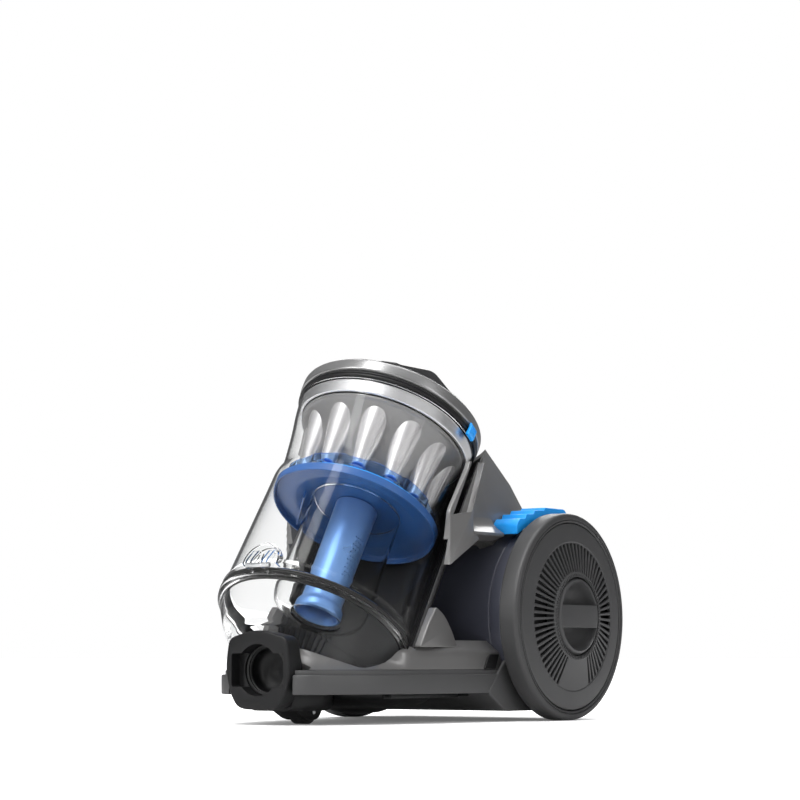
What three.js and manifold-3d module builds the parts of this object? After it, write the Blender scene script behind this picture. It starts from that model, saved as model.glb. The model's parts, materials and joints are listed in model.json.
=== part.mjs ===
// A bagless cylinder vacuum cleaner: a wheeled base with a motor drum, and a tilted cyclone
// canister with a hinged lid and a drop-down door that lifts off along its own axis.
// Millimetres, +Z up, the hose inlet at the front (-Y), the origin under the middle of the box.
import * as THREE from "three";
import { mergeVertices } from "three/addons/utils/BufferGeometryUtils.js";
import Module from "manifold-3d";

const wasm = await Module();
wasm.setup();

// ---- driving dimensions -------------------------------------------------------------------
const GAP = 0.4; // clearance between neighbouring pieces
const FINE = 48; // segments round the wheels
const ROUND = 36; // segments round the canister
const MEDIUM = 24;
const SMALL = 12;

const WHEEL_R = 100;
const AXLE_Y = 105.8; // the drive wheels' axle behind the middle of the box
const WHEEL_OUT = 138; // outer face of a wheel from the mid-plane
const WHEEL_IN = 118;
const TYRE_IN = 92; // inner radius of the tyre
const SLEEVE_R = 79; // the sleeve that a wheel turns on
const VENT_R = 90.2;
const VENT_SLOTS = 58;
const SLOT_IN = 41;
const SLOT_OUT = 69.6;
const SLOT_HALF = 1.15;
const PLAIN_SECTOR = 50; // degrees without slots, at the bottom of the vent cover
const VENT_DOME = [[38, 145.1], [71.5, 139.6], [VENT_R, 137.4]]; // (radius, height) of its face
const VENT_WALL = 3.2;
const KNOB_R = 37;
const KNOB_BAR = 10.8; // half the height of the bar between the knob's two finger scoops

const DRUM_R = 87;
const DRUM_HALF = 111;
const WALL = 2.5;

const TILT = THREE.MathUtils.degToRad(31.58); // the canister leans back by this
const DISC_Y = -168.6; // the middle of the blue disc, from the axle
const DISC_Z = 195.9;
const LINER_FRONT = 30; // the liner wraps the canister behind this line
const LIFT_TOP = 260; // how far along the canister's axis its way out is kept clear

const FRONT_Y = -312; // front of the base plinth, from the axle
const PLINTH_LOW = 27.3;
const PLINTH_TOP = 45.1;
const LIP_TOP = 49.2;
const COVER_LOW = 49.6;
const COVER_TOP = 76;
const BELLY_Y = -162; // middle of the round belly under the canister
const PORT_Z = 49.3; // middle of the hose port
const PORT_R = 23.3;

const CASTER_Y = -262; // the caster's swivel axis, from the axle
const CASTER_TRAIL = 13;
const CASTER_R = 11;

// ---- materials ----------------------------------------------------------------------------
const finish = (color, roughness, metalness = 0, extra = {}) =>
  new THREE.MeshStandardMaterial({ color, roughness, metalness, ...extra });
const clear = (color, opacity) => finish(color, 0.05, 0, { transparent: true, opacity });

const GRAPHITE = finish(0x4a4a4c, 0.5);
const GUNMETAL = finish(0x6c6d70, 0.25);
const BLACK = finish(0x242426, 0.45);
const NAVY = finish(0x1c2330, 0.2);
const WHEEL_GREY = finish(0x4b4b4c, 0.45);
const RUBBER = finish(0x333334, 0.8);
const BLUE = finish(0x1f8cf0, 0.3);
const DEEP_BLUE = finish(0x3f6fb4, 0.2);
const CLEAR = clear(0xe6edf0, 0.25);
const SMOKE_BLUE = clear(0x5f8fd0, 0.6);
const CHROME = finish(0xd6d7d9, 0.12, 1);
const SILVER = finish(0xb9babc, 0.3, 1);
const STEEL = finish(0xa6a8aa, 0.35, 1);
const COPPER = finish(0xa8683c, 0.4, 1);
const FOAM = finish(0x55585c, 0.95);
const PAPER = finish(0xecebe4, 0.9);

// ---- solids -------------------------------------------------------------------------------
// A three.js geometry as a closed solid that faces out.
function solidOf(geometry) {
  const bare = geometry.index ? geometry.toNonIndexed() : geometry;
  const points = new THREE.BufferGeometry().setAttribute(
    "position",
    bare.getAttribute("position"),
  );
  const merged = mergeVertices(points, 1e-4);
  const make = (triVerts) =>
    new wasm.Manifold(
      new wasm.Mesh({
        numProp: 3,
        vertProperties: merged.attributes.position.array,
        triVerts,
      }),
    );
  const triangles = new Uint32Array(merged.index.array);
  const solid = make(triangles);
  return solid.volume() < 0 ? make(triangles.reverse()) : solid;
}

// A [radius, height] profile turned about Z. It starts and ends on the axis, or is closed here.
function turned(profile, segments = ROUND) {
  const [first, last] = [profile[0], profile.at(-1)];
  const closed = first[0] === 0 && last[0] === 0 ? profile : [...profile, first];
  const points = closed.map(([r, z]) => new THREE.Vector2(r, z));
  return solidOf(new THREE.LatheGeometry(points, segments).rotateX(Math.PI / 2));
}

const tubeOf = (inner, outer, low, high, segments) =>
  turned([[inner, low], [outer, low], [outer, high], [inner, high]], segments);
const discOf = (radius, low, high, segments) =>
  turned([[0, low], [radius, low], [radius, high], [0, high]], segments);

function block(x0, x1, y0, y1, z0, z1) {
  const box = new THREE.BoxGeometry(x1 - x0, y1 - y0, z1 - z0);
  return solidOf(box.translate((x0 + x1) / 2, (y0 + y1) / 2, (z0 + z1) / 2));
}

// A shape in XY raised from low to high, with its edges cut back by an optional bevel.
function raised(shape, low, high, bevel = 0, curveSegments = 3) {
  const geometry = new THREE.ExtrudeGeometry(shape, {
    depth: high - low - 2 * bevel,
    curveSegments,
    bevelEnabled: bevel > 0,
    bevelThickness: bevel,
    bevelSize: bevel,
    bevelOffset: -bevel,
    bevelSegments: 1,
  });
  return solidOf(geometry.translate(0, 0, low + bevel));
}

const polygon = (points) => new THREE.Shape(points.map(([x, y]) => new THREE.Vector2(x, y)));

// A [y, z] outline carried across the width from x0 to x1.
function across(points, x0, x1, bevel = 0) {
  const solid = raised(polygon(points), x0, x1, bevel);
  return moved(solid, new THREE.Matrix4().set(0, 0, 1, 0, 1, 0, 0, 0, 0, 1, 0, 0, 0, 0, 0, 1));
}

// An [x, z] outline carried from y0 to y1.
function along(shape, y0, y1, bevel = 0, curveSegments = 8) {
  const solid = raised(shape, -y1, -y0, bevel, curveSegments);
  return moved(solid, new THREE.Matrix4().makeRotationX(Math.PI / 2));
}

const moved = (solid, matrix) => solid.transform(matrix.elements);
const shift = (solid, x, y, z) => moved(solid, new THREE.Matrix4().makeTranslation(x, y, z));
const spun = (solid, angle) => moved(solid, new THREE.Matrix4().makeRotationZ(angle));
const lieOnX = (solid) => moved(solid, new THREE.Matrix4().makeRotationY(Math.PI / 2));
const lieOnY = (solid) => moved(solid, new THREE.Matrix4().makeRotationX(Math.PI / 2));
const joined = (solids) => solids.reduce((whole, solid) => whole.add(solid));

// Copies of a solid round Z.
function ringOf(solid, count, start = 0, step = (2 * Math.PI) / count) {
  return joined(Array.from({ length: count }, (_, i) => spun(solid, start + i * step)));
}

// A polygon with rounded corners, as arcs.
function roundedShape(points, radius) {
  const shape = new THREE.Shape();
  const corner = (i) => new THREE.Vector2(...points.at(i % points.length));
  points.forEach((_, i) => {
    const [before, here, after] = [corner(i + points.length - 1), corner(i), corner(i + 1)];
    const cut = (other) =>
      here.clone().lerp(other, Math.min(0.45, radius / here.distanceTo(other)));
    const [from, to] = [cut(before), cut(after)];
    if (i) shape.lineTo(from.x, from.y);
    else shape.moveTo(from.x, from.y);
    shape.quadraticCurveTo(here.x, here.y, to.x, to.y);
  });
  shape.closePath();
  return shape;
}

const mirroredOutline = (side) => [
  ...side,
  ...side.map(([x, y]) => [-x, y]).reverse(),
];

// ---- the scene graph ----------------------------------------------------------------------
const vacuum = new THREE.Group();
vacuum.name = "canister_vacuum";
const machine = new THREE.Group(); // its origin is on the ground under the axle
machine.position.y = AXLE_Y;
vacuum.add(machine);
const canister = new THREE.Group(); // its +Z runs up the canister, +Y towards the drum
canister.position.set(0, DISC_Y, DISC_Z);
canister.rotation.x = -TILT;
machine.add(canister);
canister.updateMatrix();

function part(name, solid, material, group = machine) {
  const { numProp, vertProperties, triVerts } = solid.getMesh();
  const buffer = new THREE.InterleavedBuffer(vertProperties, numProp);
  const positions = new THREE.InterleavedBufferAttribute(buffer, 3, 0);
  const geometry = new THREE.BufferGeometry().setAttribute("position", positions);
  geometry.setIndex(new THREE.BufferAttribute(triVerts, 1));
  const flat = geometry.toNonIndexed();
  flat.computeVertexNormals();
  const mesh = new THREE.Mesh(flat, material);
  mesh.name = name;
  group.add(mesh);
}

const inMachine = (solid) => moved(solid, canister.matrix);

// The room that the canister and its door need, in the machine's frame, open along its way out.
const canisterRoom = inMachine(
  turned([
    [0, -167], [67.5, -167], [71.5, -164.5], [81.5, -149], [90.5, -129.5], [94.2, -128.4],
    [94.2, LIFT_TOP], [0, LIFT_TOP],
  ]),
);
const linerRoom = inMachine(
  discOf(98.8, -123, LIFT_TOP).intersect(block(-120, 120, LINER_FRONT - 1, 120, -130, 300)),
);
const drumRoom = lieOnX(shift(discOf(DRUM_R + GAP, -200, 200), -WHEEL_R, 0, 0));

// ---- base ---------------------------------------------------------------------------------
const plinthSide = [
  [40, FRONT_Y], [56, -300], [80, -247], [94, -205], [106, -150], [110, -95], [110, -82],
];

function plinthShape(inset) {
  const side = plinthSide.map(([x, y], i) => [x - inset, y + (i < 2 ? inset : 0)]);
  return roundedShape(mirroredOutline(side), 14);
}

function baseTray() {
  const plinth = raised(plinthShape(0), PLINTH_LOW, PLINTH_TOP, 1.2);
  const lip = raised(plinthShape(3), PLINTH_TOP - 1, LIP_TOP);
  const rear = across(
    [
      [-104, 27.5], [-84, 10], [40, 9.6], [84, 16], [92, 30], [92, 56], [80, 64], [-72, 64], [-90, 45],
    ],
    -110.4,
    110.4,
    1,
  );
  const pan = [[0, 7.8], [18, 8.8], [31, 13.5], [60, 16.5], [68, 22], [68, 30], [0, 30]];
  const belly = shift(turned(pan, MEDIUM), 0, BELLY_Y, 0);
  const hollow = joined([
    raised(plinthShape(6.5), PLINTH_LOW + WALL, COVER_TOP),
    across([[-84, 30], [-80, 13], [-40, 13], [-40, 70], [-84, 70]], -107.5, 107.5),
    across([[30, 13], [78, 20], [88.5, 32], [88.5, 70], [30, 70]], -107.5, 107.5),
  ]);
  const casterHole = shift(discOf(9.4, 20, 60, MEDIUM), 0, CASTER_Y, 0);
  const portHole = lieOnY(shift(discOf(29, 268, 330, MEDIUM), 0, PORT_Z, 0));
  const bezelRoom = block(-41, 41, FRONT_Y - 6, FRONT_Y + 15, 10, 60);
  const casterSkirt = casterSkirtSolid();
  return joined([plinth, lip, rear, belly])
    .subtract(hollow)
    .add(casterSkirt)
    .subtract(joined([canisterRoom, linerRoom, drumRoom, casterHole, portHole, bezelRoom]))
    .subtract(block(-107.5, 107.5, -100, 88.5, COVER_LOW - GAP, 80));
}

// The boat-shaped skirt that hangs round the front caster.
function casterSkirtSolid() {
  const oval = (rx, ry, low, high) => {
    const shape = new THREE.Shape().absellipse(0, CASTER_Y, rx, ry, 0, 2 * Math.PI);
    return raised(shape, low, high, 0, 9);
  };
  const skirt = oval(33, 42, 14.5, PLINTH_LOW + 1);
  return skirt.subtract(shift(discOf(29.5, 10, PLINTH_LOW, MEDIUM), 0, CASTER_Y, 0));
}

function baseCover() {
  const side = [
    [33, -289], [44, -284], [61, -268], [77, -244], [91, -205], [102, -155], [106, -110], [106, -58],
  ];
  const shell = raised(roundedShape(mirroredOutline(side), 8), COVER_LOW, COVER_TOP, 3);
  const inner = side.map(([x, y], i) => [x - WALL * 1.2, y + (i < 2 ? WALL : 0)]);
  const hollow = raised(roundedShape(mirroredOutline(inner), 8), COVER_LOW - 5, COVER_TOP - WALL);
  const fin = [[-197, 74], [-172, 107], [-150, 92], [-130, 74]];
  return joined([shell, across(fin, 84, 97), across(fin, -97, -84)])
    .subtract(hollow)
    .subtract(joined([canisterRoom, linerRoom, drumRoom, block(-34, 34, -330, -278, 40, 90)]));
}

function cradleLiner() {
  const ring = tubeOf(94.7, 98.3, -122.5, 90);
  const rearHalf = block(-100, 100, LINER_FRONT, 100, -130, 100);
  return ring.intersect(rearHalf);
}

part("base_tray", baseTray(), GRAPHITE);
part("base_cover", baseCover(), GUNMETAL);
part("cradle_liner", cradleLiner(), BLACK, canister);

// ---- hose inlet ---------------------------------------------------------------------------
function barrelShape(inset) {
  const w = 38 - inset;
  const shape = new THREE.Shape();
  shape.moveTo(-33 + inset, 78 - inset);
  shape.quadraticCurveTo(0, 92 - 2 * inset, 33 - inset, 78 - inset);
  shape.quadraticCurveTo(w + 2, PORT_Z, 31 - inset, 27);
  shape.quadraticCurveTo(22 - inset, 13.8 + inset, 0, 13.8 + inset);
  shape.quadraticCurveTo(-22 + inset, 13.8 + inset, -31 + inset, 27);
  shape.quadraticCurveTo(-w - 2, PORT_Z, -33 + inset, 78 - inset);
  return shape;
}

function inletBezel() {
  const face = along(barrelShape(0), FRONT_Y - 4, FRONT_Y + 14.5, 1.2);
  const port = lieOnY(shift(discOf(PORT_R, 290, 330, MEDIUM), 0, PORT_Z, 0));
  const slots = block(-30, 30, FRONT_Y - 6, FRONT_Y + 8, PORT_Z - 15, PORT_Z + 15);
  return face.subtract(port).subtract(slots).subtract(canisterRoom);
}

const onPort = (solid) => lieOnY(shift(solid, 0, PORT_Z, 0));
const inletSocket = () =>
  onPort(tubeOf(PORT_R - 2.6, 27, -FRONT_Y - 28.6, -FRONT_Y - 15, MEDIUM)).subtract(canisterRoom);
const inletSeal = () => onPort(tubeOf(PORT_R - 3, PORT_R - GAP, -FRONT_Y - 14.5, -FRONT_Y - 9, MEDIUM));

part("inlet_bezel", inletBezel(), BLACK);
part("inlet_socket", inletSocket(), GRAPHITE);
part("inlet_seal", inletSeal(), RUBBER);

// ---- motor drum ---------------------------------------------------------------------------
const drumGroup = new THREE.Group(); // its +Z runs along the axle to the right
drumGroup.position.z = WHEEL_R;
drumGroup.rotation.y = Math.PI / 2;
machine.add(drumGroup);

part("drum_shell", tubeOf(DRUM_R - WALL, DRUM_R, -DRUM_HALF, DRUM_HALF, ROUND), NAVY, drumGroup);
const canProfile = [[12, -8], [44, -8], [44, 58], [41.5, 58], [41.5, -5.5], [12, -5.5]];
part("motor_can", turned(canProfile, MEDIUM), STEEL, drumGroup);
part("motor_armature", joined([discOf(5, -20, 84, SMALL), discOf(30, 4, 46, MEDIUM)]), COPPER, drumGroup);
part("motor_fan", fanSolid(), STEEL, drumGroup);
const fanHousingProfile = [[50, 62], [53, 62], [53, 98], [20, 98], [20, 95.5], [50, 95.5]];
part("fan_housing", turned(fanHousingProfile, MEDIUM), BLACK, drumGroup);
part("motor_mount", tubeOf(44.5, DRUM_R - WALL - GAP, 20, 26, MEDIUM), RUBBER, drumGroup);
const reelProfile = [
  [22, -96], [66, -96], [66, -93.5], [30, -93.5], [30, -46.5], [66, -46.5], [66, -44], [22, -44],
];
part("reel_drum", turned(reelProfile, MEDIUM), GRAPHITE, drumGroup);
const reelAxle = joined([discOf(21.4, -104, -36, SMALL), discOf(34, -108, -104, MEDIUM)]);
part("reel_axle", reelAxle, STEEL, drumGroup);

function fanSolid() {
  const back = tubeOf(5.4, 47, 64, 66.5, MEDIUM);
  const hub = tubeOf(5.4, 11, 66, 84, SMALL);
  const blade = block(10, 46, -0.9, 0.9, 66, 80);
  return joined([back, hub, ringOf(blade, 9)]);
}

// ---- wheels, vents and filters, once for each side -----------------------------------------
function wheelSide(letter, side) {
  const group = new THREE.Group(); // its +Z points out of the wheel
  group.position.z = WHEEL_R;
  group.rotation.y = (side * Math.PI) / 2;
  machine.add(group);
  const down = side > 0 ? 0 : Math.PI; // the direction of the ground in the group

  const tyre = turned([
    [TYRE_IN, WHEEL_IN + 0.5], [98.8, WHEEL_IN], [WHEEL_R, WHEEL_IN + 1.2], [WHEEL_R, 135.2],
    [98.6, 137.4], [96, WHEEL_OUT], [90.9, 137], [90.9, 130.4], [TYRE_IN, 130.4],
  ], FINE);
  const rim = turned([[SLEEVE_R + GAP, 116.2], [91.6, 118.6], [91.6, 129.8], [SLEEVE_R + GAP, 129.8]]);
  const cap = turned([
    [38, 112], [DRUM_R, 112], [DRUM_R, 115.2], [SLEEVE_R, 115.2], [SLEEVE_R, 129.8], [76, 129.8],
    [76, 115.2], [38, 115.2],
  ], MEDIUM + 8);
  part("tyre_" + letter, tyre, RUBBER, group);
  part("wheel_rim_" + letter, rim, WHEEL_GREY, group);
  part("drum_cap_" + letter, cap, GRAPHITE, group);
  part("vent_cover_" + letter, ventCover(down), WHEEL_GREY, group);
  part("hepa_filter_" + letter, pleatedRing(42, 72, 117, 130), PAPER, group);
  part("vent_knob_" + letter, ventKnob(), GRAPHITE, group);
}

function ventCover(down) {
  const plate = new THREE.Shape().absarc(0, 0, VENT_R, 0, 2 * Math.PI);
  plate.holes.push(new THREE.Path().absarc(0, 0, KNOB_R + 1, 0, 2 * Math.PI));
  const span = THREE.MathUtils.degToRad(360 - PLAIN_SECTOR);
  for (let i = 0; i < VENT_SLOTS; i++) {
    const angle = down + Math.PI + span * (i / (VENT_SLOTS - 1) - 0.5);
    const out = new THREE.Vector2(Math.cos(angle), Math.sin(angle));
    const across = new THREE.Vector2(-out.y, out.x).multiplyScalar(SLOT_HALF);
    const corner = (r, sign) => out.clone().multiplyScalar(r).addScaledVector(across, sign);
    plate.holes.push(
      new THREE.Path([corner(SLOT_IN, -1), corner(SLOT_OUT, -1), corner(SLOT_OUT, 1), corner(SLOT_IN, 1)]),
    );
  }
  const back = VENT_DOME.map(([r, z]) => [r, z - VENT_WALL]).reverse();
  return raised(plate, 120, 160, 0, FINE / 4).intersect(turned([...VENT_DOME, ...back], MEDIUM));
}

function ventKnob() {
  const dome = [[KNOB_R, 144.6], [34.5, 147], [20, 148.4], [0, 148.8]];
  const body = turned([[0, 124], [30, 124], [KNOB_R, 129], ...dome], MEDIUM);
  const scoop = turned([[0, 131], [26, 131], [34, 150], [0, 150]], MEDIUM);
  const bar = block(-KNOB_BAR, KNOB_BAR, -60, 60, 120, 160);
  return body.subtract(scoop.subtract(bar));
}

function pleatedRing(inner, outer, low, high) {
  const pleats = 24;
  const points = [];
  for (let i = 0; i < 2 * pleats; i++) {
    const r = i % 2 ? outer : outer - 7;
    const angle = (i * Math.PI) / pleats;
    points.push([r * Math.cos(angle), r * Math.sin(angle)]);
  }
  return raised(polygon(points), low, high).subtract(discOf(inner, low - 1, high + 1, MEDIUM));
}

wheelSide("right", 1);
wheelSide("left", -1);

// ---- pedals -------------------------------------------------------------------------------
const PEDAL_PIN = [27, 197];
const PEDAL_IN = 84;

function pedalSide(letter, side) {
  const steps = [
    [-57, 178], [-57, 188], [-52, 193.5], [-42, 194], [-40, 198.5], [-27, 199], [-25, 203], [-8, 203.4],
    [-6, 206.4], [30, 206], [36, 200], [36, 189], [20, 191.4], [0, 193.4], [-20, 192], [-40, 185.5],
  ];
  const [y, z] = PEDAL_PIN;
  const hole = lieOnX(shift(discOf(2.5, -130, 130, SMALL), -z, y, 0));
  const [low, high] = side > 0 ? [PEDAL_IN, 112] : [-112, -PEDAL_IN];
  part("pedal_" + letter, across(steps, low, high, 0.8).subtract(hole), BLUE);
  const pin = discOf(2, side > 0 ? 78 : -112, side > 0 ? 112 : -78, SMALL);
  part("pedal_pin_" + letter, lieOnX(shift(pin, -z, y, 0)), STEEL);
}

pedalSide("right", 1);
pedalSide("left", -1);

// ---- spine --------------------------------------------------------------------------------
const SPINE_HALF = 62;

function spineShell() {
  const roof = [
    [-52, 274], [-38, 268], [34, 217.5], [84, 184], [97, 170], [102, 150], [103, 110], [101, 70],
    [60, 66], [0, 100], [-60, 150], [-125, 150], [-170, 200],
  ];
  const inner = [
    [-60, 268], [-38, 264], [32, 214.5], [82, 181], [94, 168], [99, 150], [100, 110], [98, 73],
    [60, 69], [0, 100], [-60, 147], [-128, 147], [-170, 200],
  ];
  const wing = [
    [-149, 147], [-149, 203], [-119, 238], [-97, 244], [-92, 222], [-80, 196], [-80, 172], [-92, 173],
  ];
  const saddle = [
    [-92, 173], [-100, 240], [-84, 222], [-66, 201], [-44, 193], [-14, 190], [-14, 176], [-57, 170],
  ];
  const solid = joined([
    across(roof, -SPINE_HALF, SPINE_HALF, 2),
    across(wing, -97, 97, 1),
    across(saddle, -82.5, 82.5),
  ]);
  const hollow = across(inner, -SPINE_HALF + 3, SPINE_HALF - 3).subtract(
    inMachine(discOf(102, -200, LIFT_TOP)),
  );
  return solid
    .subtract(hollow)
    .subtract(joined([canisterRoom, linerRoom, drumRoom]))
    .subtract(block(-120, 120, -200, 0, 0, 80));
}

part("spine_shell", spineShell(), GUNMETAL);

// ---- caster -------------------------------------------------------------------------------
const casterGroup = new THREE.Group(); // its origin is on the ground under the swivel
casterGroup.position.y = CASTER_Y;
machine.add(casterGroup);

function casterFork() {
  const stem = discOf(5, 25, 43, SMALL);
  const side = [[-27, 26], [-27, 19], [0, 5.2], [9, 3.6], [19, 4.6], [25, 12], [25, 26]];
  const sweep = discOf(28.2, 0, 21.3, MEDIUM).add(discOf(19, 0, 26, MEDIUM)); // stays under the socket
  const hood = across(side, -13.5, 13.5).intersect(sweep);
  const rollerRoom = block(-10.6, 10.6, CASTER_TRAIL - 12.6, CASTER_TRAIL + 20, 0, 23.2);
  const hole = lieOnX(shift(discOf(2.4, -30, 30, SMALL), -CASTER_R, CASTER_TRAIL, 0));
  return joined([hood, stem]).subtract(rollerRoom).subtract(hole);
}

const onCasterAxle = (solid) => lieOnX(shift(solid, -CASTER_R, CASTER_TRAIL, 0));
part("caster_socket", tubeOf(5.4, 9, PLINTH_LOW, 44, SMALL), BLACK, casterGroup);
part("caster_fork", casterFork(), BLACK, casterGroup);
part("caster_wheel", onCasterAxle(tubeOf(2.4, CASTER_R, -10, 10, MEDIUM)), RUBBER, casterGroup);
part("caster_axle", onCasterAxle(discOf(2, -13.5, 13.5, SMALL)), STEEL, casterGroup);

// ---- cord outlet --------------------------------------------------------------------------
const outlet = lieOnY(shift(tubeOf(4, 8, -108, -103.6, SMALL), -40, 92, 0));
part("cord_outlet", outlet, BLACK);

// ---- canister -----------------------------------------------------------------------------
const DOOR_PIN = [-98, -122];
const LID_PIN = [-95.5, 106];
const CONES = 12;
const CONE_CIRCLE = 61;

const xPin = (radius, x0, x1, [y, z]) => lieOnX(shift(discOf(radius, x0, x1, SMALL), -z, y, 0));
const yPin = (radius, y0, y1, [x, z]) => lieOnY(shift(discOf(radius, -y1, -y0, SMALL), x, z, 0));

function clearBin() {
  const shell = turned([
    [88.5, 97], [87, 80], [83.5, 58], [80, 26], [80.8, 18], [84.5, 8], [85, -10], [90, -112], [92.5, -116],
    [92.5, -120], [87, -120], [87, -112], [82.4, -10], [82.2, 8], [78.2, 22], [78, 28], [81.2, 58],
    [84.7, 80], [86, 97],
  ]);
  const [y, z] = DOOR_PIN;
  const ear = (x0, x1) => joined([block(x0, x1, y, -88, -120, z + 9), xPin(3.6, x0, x1, DOOR_PIN)]);
  const ears = ear(5, 10).add(ear(-10, -5));
  const arch = yPin(20, -96.5, -86, [0, -117]).subtract(yPin(17, -120, -80, [0, -117]));
  const upper = arch.intersect(block(-30, 30, -110, 0, -118, 0));
  const bore = discOf(89, -119, 0);
  return shell.add(ears.add(upper).subtract(bore)).subtract(xPin(2.4, -14, 14, DOOR_PIN));
}

function binDoor() {
  const cup = turned([
    [92.3, -124.6], [92.3, -127.6], [89, -128.6], [80, -148], [70, -163], [66, -165], [0, -165],
    [0, -162.5], [65, -162.5], [77.6, -147], [86.4, -127.6], [86.4, -124.6],
  ]);
  const [y, z] = DOOR_PIN;
  const arm = block(-4.4, 4.4, y, -89, -127.6, -124.6).add(xPin(3.6, -4.4, 4.4, DOOR_PIN));
  return cup.add(arm).subtract(xPin(2.4, -20, 20, DOOR_PIN));
}

part("clear_bin", clearBin(), CLEAR, canister);
part("bin_door", binDoor(), CLEAR, canister);
part("door_seal", tubeOf(86.6, 92.6, -124.2, -120.4), RUBBER, canister);
part("door_hinge_pin", xPin(2, -11, 11, DOOR_PIN), STEEL, canister);

const shroud = turned([
  [17.4, 8.5], [46, 8.5], [62, 3], [80.9, 3], [80.9, -5], [78.5, -5], [78.5, 0.4], [61, 0.4],
  [45, 6], [17.4, 6],
]);
part("shroud_disc", shroud, DEEP_BLUE, canister);

const feed = turned([
  [20.6, 5.4], [19.4, -100], [23, -104], [23, -112], [20, -113.5], [18, -104], [17.6, 5.4],
], MEDIUM);
part("feed_tube", feed, DEEP_BLUE, canister);

const jar = turned([
  [43.6, 4.8], [44.4, -50], [46.5, -98], [43, -110], [36, -116], [24.5, -117.5], [24.5, -115], [35, -113.4],
  [41, -108], [44, -97.5], [42, -50], [41.2, 4.8],
], MEDIUM);
part("fine_dust_jar", jar, CLEAR, canister);

function cyclonePack() {
  const plate = discOf(83.6, 79.6, 83);
  const cone = shift(turned([[0, 83], [15.4, 83], [6.6, 17], [0, 17]], 12), CONE_CIRCLE, 0, 0);
  const bore = shift(turned([[0, 84], [13.4, 84], [4.8, 16], [0, 16]], 8), CONE_CIRCLE, 0, 0);
  return plate.add(ringOf(cone, CONES)).subtract(ringOf(bore, CONES));
}

function coneTipRing() {
  const plate = tubeOf(52, 70, 10, 13, CONES);
  const collar = shift(discOf(13, 10, 21, 6), CONE_CIRCLE, 0, 0);
  const bore = shift(discOf(10.8, 9, 24, 6), CONE_CIRCLE, 0, 0);
  return plate.add(ringOf(collar, CONES)).subtract(ringOf(bore, CONES));
}

function vortexPlate() {
  const plate = discOf(81, 84.2, 87.4);
  const finder = shift(discOf(8, 64, 85, 6), CONE_CIRCLE, 0, 0);
  const bore = shift(discOf(6, 63, 90, 6), CONE_CIRCLE, 0, 0);
  return plate.add(ringOf(finder, CONES)).subtract(ringOf(bore, CONES));
}

function binCollar() {
  const [x, z] = LID_PIN;
  const ring = turned([[82.6, 97.6], [90.2, 97.6], [90.2, 103.4], [82.6, 103.4]]);
  const lug = (y0, y1) =>
    joined([
      block(x, -86, y0, y1, 97.6, 103),
      block(x - 2, -92, y0, y1, 97.6, z - 1),
      yPin(3.4, y0, y1, LID_PIN),
    ]);
  const hole = yPin(2.4, -30, 30, [x, z]);
  return joined([ring, lug(7, 13), lug(-13, -7)]).subtract(hole);
}

part("cyclone_pack", cyclonePack(), CHROME, canister);
part("cone_tip_ring", coneTipRing(), SMOKE_BLUE, canister);
part("vortex_plate", vortexPlate(), GRAPHITE, canister);
part("silver_band", tubeOf(81.6, 84.3, 83.6, 97), SILVER, canister);
part("bin_collar", binCollar(), BLACK, canister);
part("motor_filter", discOf(80.6, 88, 96.8, MEDIUM), FOAM, canister);

// ---- lid ----------------------------------------------------------------------------------
const BUTTON = { y0: 58, y1: 76, half: 14, floor: 139, top: 147.5 };
const GRIP = { y0: -16, y1: 50, half: 17, floor: 145.4 };

function lidRing() {
  const [x, z] = LID_PIN;
  const ring = turned([[78, 104], [88.5, 104], [91, 106], [91, 115], [89.5, 117.2], [78, 117.2]]);
  const lug = joined([block(x, -88, -6.4, 6.4, 104, 109), yPin(3.4, -6.4, 6.4, LID_PIN)]);
  return ring.add(lug).subtract(yPin(2.4, -30, 30, [x, z]));
}

function lidCrown() {
  const profile = [[-84, 118], [-70, 123.6], [-21, 149], [58, 148], [75, 144], [84, 134], [87, 118]];
  const crown = across(profile, -50, 50, 4);
  const plate = turned([[0, 117.6], [90, 117.6], [88, 121.5], [84, 123], [0, 123]]);
  const tunnel = across([[-20, 123.4], [-6, 137], [44, 137], [52, 130], [52, 123.4]], -70, 70, 0);
  const buttonWell = block(-BUTTON.half, BUTTON.half, BUTTON.y0, BUTTON.y1, BUTTON.floor - 4, 160);
  const gripWell = block(-GRIP.half, GRIP.half, GRIP.y0, GRIP.y1, GRIP.floor, 160);
  const whole = crown.add(plate).intersect(discOf(89.6, 117, 160));
  return whole.subtract(joined([tunnel, buttonWell, gripWell]));
}

part("lid_ring", lidRing(), GUNMETAL, canister);
part("lid_crown", lidCrown(), GUNMETAL, canister);
part("lid_hinge_pin", yPin(2, -13.4, 13.4, LID_PIN), STEEL, canister);
part(
  "grip_pad",
  block(-GRIP.half + GAP, GRIP.half - GAP, GRIP.y0 + GAP, GRIP.y1 - GAP, GRIP.floor + GAP, 148.4),
  RUBBER,
  canister,
);
part(
  "release_button",
  block(-BUTTON.half + 1, BUTTON.half - 1, BUTTON.y0 + 1, BUTTON.y1 - 1, BUTTON.floor, BUTTON.top),
  BLUE,
  canister,
);

// The lid's catch, on the side away from its hinge.
function lidCatch() {
  const sector = polygon([[0, 0], [120, -8], [120, 8]]);
  const arm = tubeOf(91.6, 94.8, 93, 106.5).intersect(raised(sector, 90, 120));
  const hook = tubeOf(90.6, 93, 93, 96.8).intersect(raised(sector, 90, 120));
  return spun(arm.add(hook), THREE.MathUtils.degToRad(8));
}

part("lid_catch", lidCatch(), BLUE, canister);

export default vacuum;
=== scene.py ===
"""A bagless cylinder vacuum cleaner: the looks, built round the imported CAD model."""
import json
import math

import bmesh
import bpy
from mathutils import Matrix, Vector


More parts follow.
